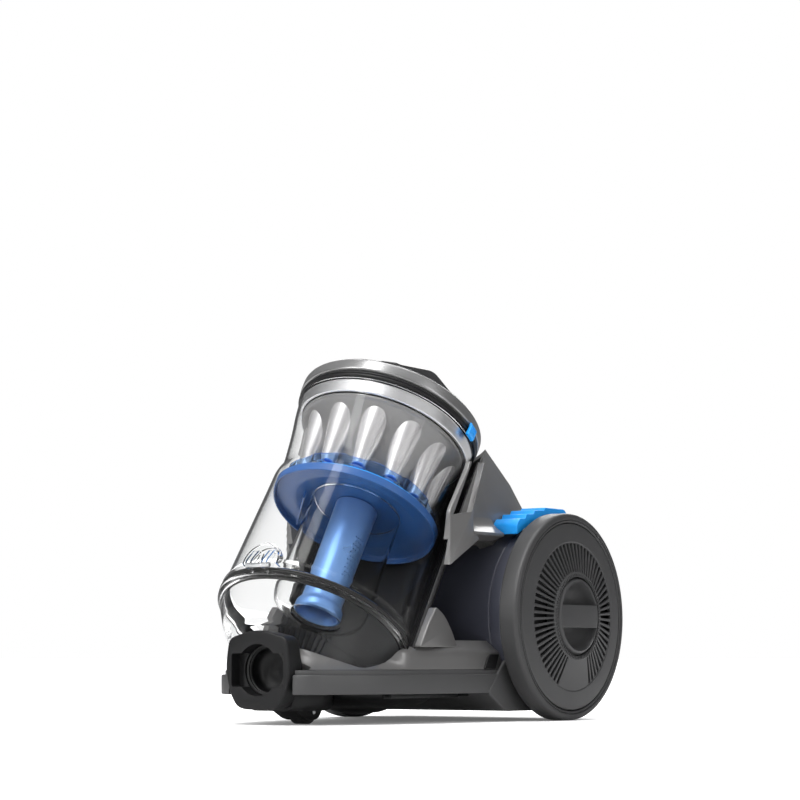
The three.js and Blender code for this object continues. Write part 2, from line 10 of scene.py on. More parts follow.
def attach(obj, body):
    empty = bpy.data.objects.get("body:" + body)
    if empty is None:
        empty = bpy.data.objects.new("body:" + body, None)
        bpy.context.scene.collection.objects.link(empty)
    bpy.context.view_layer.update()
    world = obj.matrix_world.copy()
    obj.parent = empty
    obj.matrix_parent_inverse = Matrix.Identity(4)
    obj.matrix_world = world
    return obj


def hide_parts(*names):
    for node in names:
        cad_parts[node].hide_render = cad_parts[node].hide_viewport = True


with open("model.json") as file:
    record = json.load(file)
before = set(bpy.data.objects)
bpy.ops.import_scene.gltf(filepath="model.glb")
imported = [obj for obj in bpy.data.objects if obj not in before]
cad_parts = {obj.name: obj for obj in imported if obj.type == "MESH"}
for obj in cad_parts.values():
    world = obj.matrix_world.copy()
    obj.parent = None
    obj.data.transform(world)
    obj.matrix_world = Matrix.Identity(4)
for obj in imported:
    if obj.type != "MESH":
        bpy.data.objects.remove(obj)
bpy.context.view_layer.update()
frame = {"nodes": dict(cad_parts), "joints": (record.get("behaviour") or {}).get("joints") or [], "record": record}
SCENE = bpy.context.scene
MM = 0.001
TAU = 2 * math.pi
JOINTS = {joint["name"]: joint for joint in frame["joints"]}

# ---- places, from the frame ---------------------------------------------------------------
AXLE = Vector((0, *JOINTS["right_wheel_spin"]["pos_m"][1:]))
MACHINE = Matrix.Translation((0, AXLE.y, 0))  # on the ground under the axle
UP = Vector(JOINTS["canister_lift"]["axis"]).normalized()
BACK = Vector((0, UP.z, -UP.y))
LID_PIN = (-95.5, 106)  # the lid's hinge in the canister's own frame, in mm
PIN_PLACE = Vector(JOINTS["lid_open"]["pos_m"])
DISC = PIN_PLACE - LID_PIN[0] * MM * Vector((1, 0, 0)) - LID_PIN[1] * MM * UP
CANISTER = Matrix.Translation(DISC) @ Matrix((Vector((1, 0, 0)), BACK, UP)).transposed().to_4x4()
CASTER = Matrix.Translation((0, JOINTS["caster_swivel"]["pos_m"][1], 0))
HANDS = (("right", 1), ("left", -1))  # the name of a side and its way along X


def quarter_turn(axis, x=0, y=0, z=0, way=1):
    """A frame at a place, turned a quarter about an axis."""
    return Matrix.Translation((x, y, z)) @ Matrix.Rotation(way * math.pi / 2, 4, axis)


def wheel_frame(side):
    """Its +Z points out of the wheel on that side."""
    return quarter_turn("Y", *AXLE, side)


def on_side(way, inner, outer):
    """Two distances from the mid-plane as places along X on that side, the lower first."""
    return sorted((way * inner, way * outer))


DRUM = quarter_turn("Y", *AXLE)


# ---- camera, lights and floor -------------------------------------------------------------
def make_camera():
    """A long lens from low down, fitted to the outlines in the photo."""
    data = bpy.data.cameras.new("camera")
    data.sensor_width = 36
    data.lens = 112.5
    camera = bpy.data.objects.new("camera", data)
    camera.location = MACHINE @ Vector((1.4022, -2.0834, 0.0617))
    camera.rotation_euler = (math.radians(95.851), 0, math.radians(35.174))
    SCENE.collection.objects.link(camera)
    SCENE.camera = camera


LIT_POINT = Vector((0, 0, 0.15))
LIGHTS = (  # name, place, width and height, watts
    ("key_left", (-0.9, -2.1, 1.3), (0.5, 1.6), 26),
    ("top", (0.1, 0.1, 1.9), (1.5, 1.1), 19),
    ("fill_right", (2.0, -0.2, 0.8), (0.4, 1.4), 9),
    ("rim_back", (-0.8, 1.7, 1.1), (1.2, 0.5), 14),
    ("front", (0.75, -2.0, 1.0), (0.5, 1.0), 7),
    ("high_front", (0.0, -1.15, 1.8), (0.35, 0.9), 22),
)


def area_light(name, place, size, power):
    """Seen in reflections, but not through the clear plastic, where it would show as a white card."""
    data = bpy.data.lights.new(name, "AREA")
    data.shape = "RECTANGLE"
    data.size, data.size_y = size
    data.energy = power
    light = bpy.data.objects.new(name, data)
    light.location = place
    toward = LIT_POINT - Vector(place)
    light.rotation_euler = toward.to_track_quat("-Z", "Y").to_euler()
    light.visible_transmission = False
    SCENE.collection.objects.link(light)


def straight_ray(tree):
    """1 for a ray that comes from the camera, through clear plastic or not, and 0 after a reflection."""
    path = tree.nodes.new("ShaderNodeLightPath")
    bounces = tree.nodes.new("ShaderNodeMath")
    bounces.operation = "ADD"
    none = tree.nodes.new("ShaderNodeMath")
    none.operation = "LESS_THAN"
    none.inputs[1].default_value = 0.5
    tree.links.new(path.outputs["Glossy Depth"], bounces.inputs[0])
    tree.links.new(path.outputs["Diffuse Depth"], bounces.inputs[1])
    tree.links.new(bounces.outputs[0], none.inputs[0])
    return none.outputs[0]


def make_world():
    """White to look at, and greyer lower down and to the sides where it is only reflected."""
    world = bpy.data.worlds.new("studio")
    SCENE.world = world
    world.use_nodes = True
    tree = world.node_tree
    tree.nodes.clear()
    new = tree.nodes.new
    output = new("ShaderNodeOutputWorld")
    mix = new("ShaderNodeMixShader")
    seen = new("ShaderNodeBackground")
    seen.inputs["Color"].default_value = (1, 1, 1, 1)
    lit = new("ShaderNodeBackground")
    place = new("ShaderNodeTexCoord")
    split = new("ShaderNodeSeparateXYZ")
    ramp = new("ShaderNodeValToRGB")
    ramp.color_ramp.elements[0].position = 0.0
    ramp.color_ramp.elements[0].color = (0.30, 0.30, 0.31, 1)
    ramp.color_ramp.elements[1].position = 0.9
    ramp.color_ramp.elements[1].color = (0.42, 0.42, 0.43, 1)
    for position, grey in ((0.12, 0.10), (0.38, 0.14), (0.55, 0.26)):
        step = ramp.color_ramp.elements.new(position)
        step.color = (grey, grey, grey * 1.02, 1)
    link = tree.links.new
    link(place.outputs["Generated"], split.inputs[0])
    link(split.outputs["Z"], ramp.inputs["Fac"])
    link(ramp.outputs["Color"], lit.inputs["Color"])
    link(straight_ray(tree), mix.inputs[0])
    link(lit.outputs[0], mix.inputs[1])
    link(seen.outputs[0], mix.inputs[2])
    link(mix.outputs[0], output.inputs[0])


FLOOR_HALF = 40  # metres, far enough for its edge to be lost


def make_floor():
    """A pale floor that glows towards its far edge, so that it runs into the white behind it, with a painted
    contact shadow where ambient occlusion darkens its glow near the machine.
    """
    mesh = bpy.data.meshes.new("floor")
    far = FLOOR_HALF
    mesh.from_pydata([(-far, -far, 0), (far, -far, 0), (far, far, 0), (-far, far, 0)], [], [(0, 1, 2, 3)])
    floor = bpy.data.objects.new("floor", mesh)
    SCENE.collection.objects.link(floor)
    material = bpy.data.materials.new("floor")
    material.use_nodes = True
    shader = material.node_tree.nodes["Principled BSDF"]
    shader.inputs["Base Color"].default_value = (0.82, 0.82, 0.82, 1)
    shader.inputs["Roughness"].default_value = 0.6
    shader.inputs["Specular IOR Level"].default_value = 0.2
    shader.inputs["Emission Color"].default_value = (1, 1, 1, 1)
    tree = material.node_tree
    new, link = tree.nodes.new, tree.links.new
    place = new("ShaderNodeTexCoord")
    length = new("ShaderNodeVectorMath")
    length.operation = "LENGTH"
    glow = new("ShaderNodeMapRange")
    glow.interpolation_type = "SMOOTHSTEP"
    glow.inputs["From Min"].default_value = 0.25
    glow.inputs["From Max"].default_value = 1.2
    glow.inputs["To Min"].default_value = 0.88
    glow.inputs["To Max"].default_value = 1.1
    # painted shadow: ambient occlusion darkens the floor's glow near the machine, down to 0.12 of it
    shade = new("ShaderNodeAmbientOcclusion")
    shade.inputs["Distance"].default_value = 0.30
    painted_shadow_depth = new("ShaderNodeMapRange")
    painted_shadow_depth.inputs["To Min"].default_value = 0.12
    strength = new("ShaderNodeMath")
    strength.operation = "MULTIPLY"
    shown = new("ShaderNodeMath")
    shown.operation = "MULTIPLY"
    link(place.outputs["Object"], length.inputs[0])
    link(length.outputs["Value"], glow.inputs["Value"])
    link(shade.outputs["AO"], painted_shadow_depth.inputs["Value"])
    link(glow.outputs[0], strength.inputs[0])
    link(painted_shadow_depth.outputs[0], strength.inputs[1])
    link(strength.outputs[0], shown.inputs[0])
    link(straight_ray(tree), shown.inputs[1])
    link(shown.outputs[0], shader.inputs["Emission Strength"])
    mesh.materials.append(material)


make_camera()
make_world()
for light in LIGHTS:
    area_light(*light)
make_floor()
SCENE.view_settings.view_transform = "Standard"


# ---- materials ----------------------------------------------------------------------------
GRAIN_DEPTH = 0.0002  # metres


def node_material(name):
    """A new material with its node tree and its shader."""
    material = bpy.data.materials.new(name)
    material.use_nodes = True
    return material, material.node_tree, material.node_tree.nodes["Principled BSDF"]


def noise(tree, scale, detail=2, stretch=(1, 1, 1)):
    """Noise over the object's own coordinates, which are metres."""
    place = tree.nodes.new("ShaderNodeTexCoord")
    mapping = tree.nodes.new("ShaderNodeMapping")
    mapping.inputs["Scale"].default_value = stretch
    texture = tree.nodes.new("ShaderNodeTexNoise")
    texture.inputs["Scale"].default_value = scale
    texture.inputs["Detail"].default_value = detail
    tree.links.new(place.outputs["Object"], mapping.inputs["Vector"])
    tree.links.new(mapping.outputs[0], texture.inputs["Vector"])
    return texture.outputs["Fac"]


def spread(tree, value, low, high):
    """The noise value laid over low to high."""
    ranged = tree.nodes.new("ShaderNodeMapRange")
    ranged.inputs["From Min"].default_value = 0.3
    ranged.inputs["From Max"].default_value = 0.7
    ranged.inputs["To Min"].default_value = low
    ranged.inputs["To Max"].default_value = high
    tree.links.new(value, ranged.inputs["Value"])
    return ranged.outputs[0]


def tinted(tree, value, color, swing):
    """The colour, lighter and darker by swing where the noise is high and low."""
    mix = tree.nodes.new("ShaderNodeMix")
    mix.data_type = "RGBA"
    dark, light = mix.inputs[6], mix.inputs[7]  # the sockets that take colours
    dark.default_value = (*(c * (1 - swing) for c in color), 1)
    light.default_value = (*(min(1, c * (1 + swing)) for c in color), 1)
    tree.links.new(value, mix.inputs[0])
    return mix.outputs[2]


def bumped(tree, shader, value, strength, depth):
    """Lays the noise over the surface as a relief of that depth, in metres."""
    bump = tree.nodes.new("ShaderNodeBump")
    bump.inputs["Strength"].default_value = strength
    bump.inputs["Distance"].default_value = depth
    tree.links.new(value, bump.inputs["Height"])
    tree.links.new(bump.outputs[0], shader.inputs["Normal"])


def plastic(name, color, roughness, grain=2600, relief=0.12, coat=0.0, metallic=0.0, swing=0.07, gloss=0.5):
    """Moulded or plated plastic: a fine grain, and slow changes of colour and shine."""
    material, tree, shader = node_material(name)
    slow = noise(tree, 18, 3)
    fine = noise(tree, grain, 1)
    tree.links.new(tinted(tree, slow, color, swing), shader.inputs["Base Color"])
    rough = spread(tree, slow, roughness * 0.88, min(1, roughness * 1.14))
    tree.links.new(rough, shader.inputs["Roughness"])
    shader.inputs["Metallic"].default_value = metallic
    shader.inputs["Specular IOR Level"].default_value = gloss
    shader.inputs["Coat Weight"].default_value = coat
    shader.inputs["Coat Roughness"].default_value = 0.06
    if relief:
        bumped(tree, shader, fine, relief, GRAIN_DEPTH)
    return material


def metal(name, color, roughness, lines=(1, 1, 1), relief=0.05):
    """Bright metal or plating, with faint lines where it was turned or drawn."""
    material, tree, shader = node_material(name)
    fine = noise(tree, 420, 2, lines)
    tree.links.new(tinted(tree, noise(tree, 12), color, 0.05), shader.inputs["Base Color"])
    tree.links.new(spread(tree, fine, roughness * 0.95, roughness * 1.08), shader.inputs["Roughness"])
    shader.inputs["Metallic"].default_value = 1.0
    if relief:
        bumped(tree, shader, fine, relief, GRAIN_DEPTH)
    return material


def clear(name, color, roughness, ior):
    """Clear or tinted moulded plastic, with the faint waves of its moulding."""
    material, tree, shader = node_material(name)
    slow = noise(tree, 14, 1)
    tree.links.new(tinted(tree, slow, color, 0.015), shader.inputs["Base Color"])
    shader.inputs["Roughness"].default_value = roughness
    shader.inputs["IOR"].default_value = ior
    shader.inputs["Transmission Weight"].default_value = 1.0
    bumped(tree, shader, slow, 0.05, 0.0015)
    return material


def soft(name, color, roughness, scale, relief):
    """Rubber, foam and paper: dull, with an even relief."""
    material, tree, shader = node_material(name)
    fine = noise(tree, scale, 3)
    tree.links.new(tinted(tree, fine, color, 0.12), shader.inputs["Base Color"])
    tree.links.new(spread(tree, fine, roughness * 0.9, min(1, roughness * 1.1)), shader.inputs["Roughness"])
    bumped(tree, shader, fine, relief, 0.0005)
    return material


SEE_THROUGH = ("clear", "smoke_blue")  # these cast no shadow
FINISHES = {
    "graphite": plastic("graphite", (0.050, 0.050, 0.051), 0.46),
    "gunmetal": plastic(
        "gunmetal", (0.215, 0.212, 0.210), 0.33, grain=5200, relief=0.03, coat=0.2, metallic=0.45,
    ),
    "black": plastic("black", (0.006, 0.006, 0.0065), 0.42, gloss=0.28),
    "navy": plastic("navy", (0.052, 0.055, 0.074), 0.32, grain=900, relief=0.015, coat=0.4),
    "wheel_grey": plastic("wheel_grey", (0.042, 0.042, 0.043), 0.42, grain=3200, relief=0.10),
    "tread": soft("tread", (0.036, 0.036, 0.037), 0.48, 2400, 0.10),
    "seal": soft("seal", (0.008, 0.008, 0.008), 0.5, 1500, 0.15),
    "blue": plastic("blue", (0.014, 0.35, 0.95), 0.30, grain=3000, relief=0.05, coat=0.15),
    "deep_blue": plastic("deep_blue", (0.018, 0.085, 0.27), 0.34, grain=900, relief=0.006, coat=0.2),
    # the crown's gunmetal, painted far darker than gunmetal itself: painted shade on the lid's top
    "crown_gunmetal_painted_shade": plastic(
        "crown_gunmetal_painted_shade", (0.060, 0.060, 0.061), 0.32, grain=5200, relief=0.02, coat=0.3, metallic=0.3,
    ),
    # the base cover's gunmetal, painted darker than gunmetal itself: painted shade on the cover
    "cover_gunmetal_painted_shade": plastic(
        "cover_gunmetal_painted_shade", (0.150, 0.148, 0.146), 0.33, grain=5200, relief=0.03, coat=0.2, metallic=0.45,
    ),
    "tube_blue": plastic(
        "tube_blue", (0.18, 0.35, 0.70), 0.30, grain=900, relief=0.004, coat=0.3, metallic=0.7,
    ),
    # the lid band's gunmetal, shinier and painted lighter than gunmetal itself: the lighter colour is painted
    # light on the band
    "ring_gunmetal_painted_light": plastic(
        "ring_gunmetal_painted_light", (0.27, 0.27, 0.27), 0.30, grain=5200, relief=0.008, coat=0.2, metallic=0.75,
    ),
    "clear": clear("clear", (0.985, 0.99, 0.99), 0.01, 1.16),
    "smoke_blue": clear("smoke_blue", (0.42, 0.64, 0.98), 0.04, 1.25),
    "chrome": plastic(
        "chrome", (0.84, 0.83, 0.83), 0.25, relief=0, coat=0.3, metallic=0.85, swing=0.03,
    ),
    "silver": metal("silver", (0.86, 0.86, 0.865), 0.30, relief=0),
    "steel": metal("steel", (0.60, 0.61, 0.62), 0.32, (1, 30, 30)),
    "copper": metal("copper", (0.62, 0.32, 0.17), 0.35, (60, 4, 4), 0.3),
    "foam": soft("foam", (0.075, 0.080, 0.088), 0.95, 900, 0.6),
    "paper": soft("paper", (0.80, 0.80, 0.76), 0.9, 700, 0.3),
}


# ---- meshes -------------------------------------------------------------------------------
def curved(points, radius, steps=4, closed=True):
    """The points with each corner rounded to about that radius, or to a point's own third number."""
    out = []
    count = len(points)
    for i, point in enumerate(points):
        here = Vector(point[:2])
        if not closed and i in (0, count - 1):
            out.append(here)
            continue
        own = point[2] if len(point) > 2 else radius
        before, after = Vector(points[i - 1][:2]), Vector(points[(i + 1) % count][:2])
        a = here.lerp(before, min(0.48, own / max(1e-6, (before - here).length)))
        b = here.lerp(after, min(0.48, own / max(1e-6, (after - here).length)))
        if own < 0.02:
            out.append(here)
            continue
        for k in range(steps + 1):
            t = k / steps
            out.append(a * (1 - t) ** 2 + here * 2 * t * (1 - t) + b * t ** 2)
    return [(p.x, p.y) for p in out]


def lathe(profile, radius=0.4, turns=144, steps=3):
    """A (radius, height) outline turned round Z. It closes on itself, or starts and ends on the axis."""
    on_axis = profile[0][0] == 0 and profile[-1][0] == 0
    outline = curved(profile, radius, steps, closed=not on_axis)
    mesh = bmesh.new()
    rings = []
    for r, z in outline:
        if r < 1e-6:
            rings.append([mesh.verts.new((0, 0, z))] * turns)
        else:
            angles = (TAU * i / turns for i in range(turns))
            rings.append([mesh.verts.new((r * math.cos(a), r * math.sin(a), z)) for a in angles])
    pairs = list(zip(rings, rings[1:])) + ([] if on_axis else [(rings[-1], rings[0])])
    for low, high in pairs:
        for i in range(turns):
            j = (i + 1) % turns
            corners = []
            for vert in (low[i], low[j], high[j], high[i]):
                if vert not in corners:
                    corners.append(vert)
            if len(corners) > 2:
                mesh.faces.new(corners)
    return mesh


def prism(outline, low, high):
    """A closed outline in XY, filled between two heights."""
    mesh = bmesh.new()
    bottom = [mesh.verts.new((x, y, low)) for x, y in outline]
    top = [mesh.verts.new((x, y, high)) for x, y in outline]
    mesh.faces.new(bottom[::-1])
    mesh.faces.new(top)
    for i in range(len(outline)):
        j = (i + 1) % len(outline)
        mesh.faces.new((bottom[i], bottom[j], top[j], top[i]))
    return mesh


ACROSS = Matrix(((0, 0, 1, 0), (1, 0, 0, 0), (0, 1, 0, 0), (0, 0, 0, 1)))  # XY outline to YZ, height to X
ALONG = Matrix(((1, 0, 0, 0), (0, 0, 1, 0), (0, 1, 0, 0), (0, 0, 0, 1)))  # XY outline to XZ, height to Y


def turned_to(mesh, matrix):
    """The same mesh, moved into that frame."""
    mesh.transform(matrix)
    return mesh


def across(outline, low, high):
    """An outline in YZ, filled between two places along X."""
    return turned_to(prism(outline, low, high), ACROSS)


def along(outline, low, high):
    """An outline in XZ, filled between two places along Y."""
    return turned_to(prism(outline, low, high), ALONG)


def box(x0, x1, y0, y1, z0, z1):
    """A block between two corners."""
    return prism([(x0, y0), (x1, y0), (x1, y1), (x0, y1)], z0, z1)


def arc(radius, start, end, steps):
    """Points on an arc between two angles in degrees."""
    angles = [math.radians(start + (end - start) * i / steps) for i in range(steps + 1)]
    return [(radius * math.cos(a), radius * math.sin(a)) for a in angles]


def rod(radius, low, high, turns=32, edge=0.4):
    """A cylinder along Z with its edges rounded a little."""
    return lathe([(0, low), (radius, low), (radius, high), (0, high)], edge, turns)


def copies(mesh, count, first=0.0, step=None):
    """One mesh with copies of it round Z, which don't touch."""
    whole = bmesh.new()
    for i in range(count):
        turn = Matrix.Rotation(first + i * (step or TAU / count), 4, "Z")
        data = bpy.data.meshes.new("copy")
        mesh.to_mesh(data)
        data.transform(turn)
        whole.from_mesh(data)
        bpy.data.meshes.remove(data)
    mesh.free()
    return whole


def together(*meshes):
    """Several meshes as one."""
    whole = bmesh.new()
    for mesh in meshes:
        data = bpy.data.meshes.new("part")
        mesh.to_mesh(data)
        whole.from_mesh(data)
        bpy.data.meshes.remove(data)
        mesh.free()
    return whole


def solid(name, mesh, matrix):
    """A mesh object from millimetres in that frame."""
    bmesh.ops.recalc_face_normals(mesh, faces=mesh.faces[:])
    data = bpy.data.meshes.new(name)
    mesh.to_mesh(data)
    mesh.free()
    data.transform(matrix @ Matrix.Scale(MM, 4))
    made = bpy.data.objects.new(name, data)
    SCENE.collection.objects.link(made)
    return made


def settle(made):
    """Applies the object's modifiers."""
    graph = bpy.context.evaluated_depsgraph_get()
    data = bpy.data.meshes.new_from_object(made.evaluated_get(graph))
    made.modifiers.clear()
    old = made.data
    made.data = data
    bpy.data.meshes.remove(old)


def carve_with(made, tool, how="DIFFERENCE"):
    """Cuts, joins or crosses the object with another object, which is used up."""
    step = made.modifiers.new("step", "BOOLEAN")
    step.operation = how
    step.solver = "MANIFOLD"
    step.object = tool
    bpy.context.view_layer.update()
    settle(made)
    bpy.data.objects.remove(tool)


def carve(made, mesh, matrix, how="DIFFERENCE"):
    """Cuts, joins or crosses the object with millimetres in that frame."""
    carve_with(made, solid("tool", mesh, matrix), how)


def ease(made, width, segments=3, angle=28):
    """Rounds the edges that are sharper than the angle."""
    step = made.modifiers.new("step", "BEVEL")
    step.width = width * MM
    step.segments = segments
    step.limit_method = "ANGLE"
    step.angle_limit = math.radians(angle)
    step.miter_outer = "MITER_ARC"
    step.use_clamp_overlap = True
    bpy.context.view_layer.update()
    settle(made)


def dress(made, finish, body, replaces=(), angle=32):
    """Gives a piece its material, its body and what it stands for."""
    made.data.materials.clear()
    made.data.materials.append(FINISHES[finish])
    for face in made.data.polygons:
        face.use_smooth = True
        face.material_index = 0
    made.data.set_sharp_from_angle(angle=math.radians(angle))
    made.visible_shadow = finish not in SEE_THROUGH
    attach(made, body)
    if replaces:
        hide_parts(*replaces)


# ---- wheels, vents and knobs --------------------------------------------------------------
VENT_SLOTS = 58
PLAIN_SECTOR = 50  # degrees at the bottom of the vent cover that have no slots
GRIP_RIDGES = 88
KNOB_BAR = 10.8  # half the width of the bar between the knob's two scoops


def make_wheel(hand, side):
    place = wheel_frame(side)
    body = hand + "_wheel"
    tyre = lathe([
        (92, 118.6), (97.8, 118.0, 0.8), (99.6, 118.4, 0.6), (100, 119.4, 0.6), (100, 134.6, 2),
        (98.9, 137.2, 1.4), (96.2, 138.0, 1), (94.2, 138.0), (93.8, 136.7), (93.1, 136.7), (92.7, 137.8),
        (91.6, 137.8, 0.5), (90.9, 136.8), (90.9, 130.5), (92, 130.5),
    ], 0.3, 240)
    dress(solid(hand + "_tyre", tyre, place), "tread", body, replaces=["tyre_" + hand])
    rim = lathe([(79.4, 116.3), (91.4, 118.4), (91.6, 129.8), (79.4, 129.8)], 0.8, 160)
    dress(solid(hand + "_rim", rim, place), "wheel_grey", body, replaces=["wheel_rim_" + hand])
    cap = lathe([
        (38, 112.2), (86.8, 112.2), (86.8, 115.2), (84, 116), (79, 116), (79, 129.8), (76, 129.8),
        (76, 115.2), (38, 115.2),
    ], 0.6, 160)
    cap = solid(hand + "_cap", cap, place)
    dress(cap, "black", "chassis", replaces=["drum_cap_" + hand])
    make_vent_cover(hand, side, place)
    make_knob(hand, place)


def make_vent_cover(hand, side, place):
    plate = lathe([
        (38.2, 141.9), (71.5, 136.4), (90.0, 134.2), (90.1, 136.8, 0.6), (89.4, 137.5, 0.6), (72.3, 139.5),
        (71.7, 138.9), (42.4, 144.1), (41.8, 144.8), (38.2, 145.1),
    ], 0.35, 240)
    cover = solid(hand + "_vent_cover", plate, place)
    span = math.radians(360 - PLAIN_SECTOR)
    first = (math.pi if side > 0 else 0) - span / 2
    slot = prism(curved([(42.8, -1.15), (70.9, -2.0), (70.9, 2.0), (42.8, 1.15)], 0.8, 3), 130, 150)
    carve(cover, copies(slot, VENT_SLOTS, first, span / (VENT_SLOTS - 1)), place)
    ease(cover, 0.25, 2)
    dress(cover, "wheel_grey", "chassis", replaces=["vent_cover_" + hand])
    ridge = prism([(38.4, -0.62), (41.5, -0.62), (41.5, 0.62), (38.4, 0.62)], 144.2, 145.8)
    ridges = solid(hand + "_grip_ridges", copies(ridge, GRIP_RIDGES), place)
    ease(ridges, 0.3, 2)
    dress(ridges, "wheel_grey", "chassis")
    net = lathe([(39, 130.6), (75.6, 130.6), (75.6, 131.2), (39, 131.2)], 0.1, 96)
    dress(solid(hand + "_vent_net", net, place), "seal", "chassis")


def make_knob(hand, place):
    knob = solid(hand + "_knob", lathe([
        (0, 128), (30, 128), (36.8, 132), (36.9, 143.4, 1.0), (34.8, 146.8, 2.6), (20, 148.3, 10), (0, 148.7),
    ], 0.5, 160, 6), place)
    for way in (-1, 1):
        dish = lathe([(0, 131.6), (20, 132, 7), (29.5, 137.2, 8), (34.6, 150), (0, 150)], 0.5, 128, 7)
        scoop = solid("scoop", dish, place)
        carve(scoop, box(*on_side(way, KNOB_BAR, 60), -60, 60, 120, 160), place, "INTERSECT")
        carve_with(knob, scoop)
    ease(knob, 0.7, 3, 40)
    dress(knob, "wheel_grey", hand + "_knob", replaces=["vent_knob_" + hand])


# ---- motor drum ---------------------------------------------------------------------------
DRUM_R = 87


def make_drum():
    shell = lathe([
        (84.5, -110.8), (86.2, -110.8), (87, -110), (87, -99.4), (86.4, -99), (86.4, -98), (87, -97.6),
        (87, 97.6), (86.4, 98), (86.4, 99), (87, 99.4), (87, 110), (86.2, 110.8), (84.5, 110.8),
    ], 0.3, 240)
    dress(solid("drum", shell, DRUM), "navy", "chassis", replaces=["drum_shell"])


# ---- canister -----------------------------------------------------------------------------
CONES = 12
CONE_CIRCLE = 61
HOLE_ROWS = 11
HOLE_COLUMNS = 5
DOOR_PIN = (-98, -122)  # y and height in the canister's frame


def can_piece(name, mesh, finish, body="canister", replaces=(), angle=32, edge=0):
    """A piece that is made from one mesh in the canister's frame."""
    made = solid(name, mesh, CANISTER)
    if edge:
        ease(made, edge)
    dress(made, finish, body, replaces, angle)


def pin_along_x(radius, x0, x1, y, z):
    """A rod across the machine."""
    return turned_to(rod(radius, x0, x1, edge=0.3), quarter_turn("Y", 0, y, z))


def door_pin_hole(low, high):
    """Cuts one ear of the door's hinge."""
    return pin_along_x(2.35, low, high, *DOOR_PIN)


def make_bin():
    shell = solid("bin_wall", lathe([
        (88.4, 97), (86.9, 80, 8), (83.4, 58, 12), (80.3, 26, 6), (80.9, 18, 4), (84.3, 9, 4), (85, -10, 20),
        (90, -110), (92.4, -115, 1.5), (92.4, -120), (87.2, -120), (87, -112, 2), (82.4, -10, 20), (82, 8, 4),
        (78.4, 19, 4), (78, 27, 6), (81.2, 58, 12), (84.6, 80, 8), (86.1, 97),
    ], 0.5, 192, 5), CANISTER)
    hoop = lathe([(18.2, 86.5), (20.2, 86.5), (20.2, 96.6), (18.2, 96.6)], 0.4, 72)
    turned_to(hoop, quarter_turn("X", z=-117))
    arch = solid("arch", hoop, CANISTER)
    carve(arch, box(-40, 40, -120, -60, -119.4, -60), CANISTER, "INTERSECT")
    bore = lathe([(0, -125), (87.6, -125), (87.6, -112), (84.4, -30), (84.4, 0), (0, 0)], 0, 144)
    carve(arch, bore, CANISTER)
    carve_with(shell, arch, "UNION")
    for x in (-12.6, -7.2, 5.2, 10.6):
        ear = [(-98, -125.6), (-101.6, -122), (-101, -117), (-96.6, -104.5), (-88, -104.5), (-88, -118)]
        tab = solid("tab", across(curved(ear, 2.5, 4), x, x + 2), CANISTER)
        carve(tab, lathe([(0, -130), (88.5, -130), (88.5, -100), (0, -100)], 0, 144), CANISTER)
        carve(tab, door_pin_hole(x - 1, x + 3), CANISTER)
        carve_with(shell, tab, "UNION")
    dress(shell, "clear", "canister", replaces=["clear_bin"], angle=40)


def make_door():
    door = solid("door", lathe([
        (92.2, -124.7), (92.2, -127.8, 1), (89.4, -130, 2), (80.2, -148, 2), (70.2, -162.4, 3), (66, -165, 2),
        (30, -165), (29, -164.4), (0, -164.4), (0, -162.4), (65, -162.4, 2), (77.6, -147, 2),
        (86.4, -129, 2), (86.4, -124.7),
    ], 0.4, 192, 4), CANISTER)
    for x in (-10, 7.8):
        arm = [
            (-98, -125.6), (-101.6, -122), (-98, -118.6), (-94.4, -121), (-93.6, -124.8), (-88, -124.8),
            (-88, -127.6),
        ]
        tab = solid("tab", across(curved(arm, 2, 4), x, x + 2.2), CANISTER)
        carve(tab, door_pin_hole(x - 1, x + 4), CANISTER)
        carve(tab, lathe([(0, -130), (88, -130), (88, -124.6), (0, -124.6)], 0, 144), CANISTER)
        carve_with(door, tab, "UNION")
    dress(door, "clear", "door", replaces=["bin_door"], angle=40)
    seal = lathe([
        (86.8, -124.3), (92.2, -124.3), (92.7, -123.4), (91.6, -122.7), (92.7, -121.9), (92.5, -120.6),
        (86.8, -120.6),
    ], 0.3, 192)
    can_piece("door_gasket", seal, "seal", "door", ["door_seal"])
    lip = lathe([(84.0, -127.6), (86.1, -127.6), (86.1, -117.4), (85.0, -117.0), (84.0, -117.4)], 0.3, 192)
    can_piece("door_lip", lip, "seal", "door")
    pin = pin_along_x(1.9, -13.6, 13.6, *DOOR_PIN)
    can_piece("door_pin", pin, "steel", replaces=["door_hinge_pin"])


